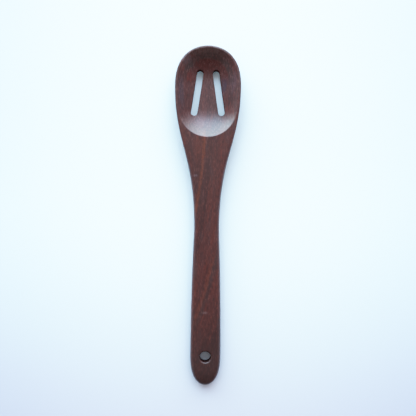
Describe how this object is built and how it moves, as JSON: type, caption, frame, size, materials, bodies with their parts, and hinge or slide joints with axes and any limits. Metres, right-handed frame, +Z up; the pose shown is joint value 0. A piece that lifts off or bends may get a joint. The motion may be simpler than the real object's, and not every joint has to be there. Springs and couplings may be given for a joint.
{
  "type": "slotted serving spoon",
  "caption": "Serving spoon carved from one piece of dark wood, with a deep oval bowl, splayed drain slots through its floor, a slim waist and a hanging hole in the handle.",
  "frame": {"origin": "on the table that the spoon lies on, under the middle of its box", "axes": "+Z up, out of the bowl; +Y along the spoon from the handle's end to the bowl's tip; +X to the right seen from above"},
  "size_m": [0.0588, 0.305, 0.0156],
  "materials": {
    "wood": "oiled satin"
  },
  "bodies": {
    "root": {"spoon": "wood"}
  },
  "joints": []
}
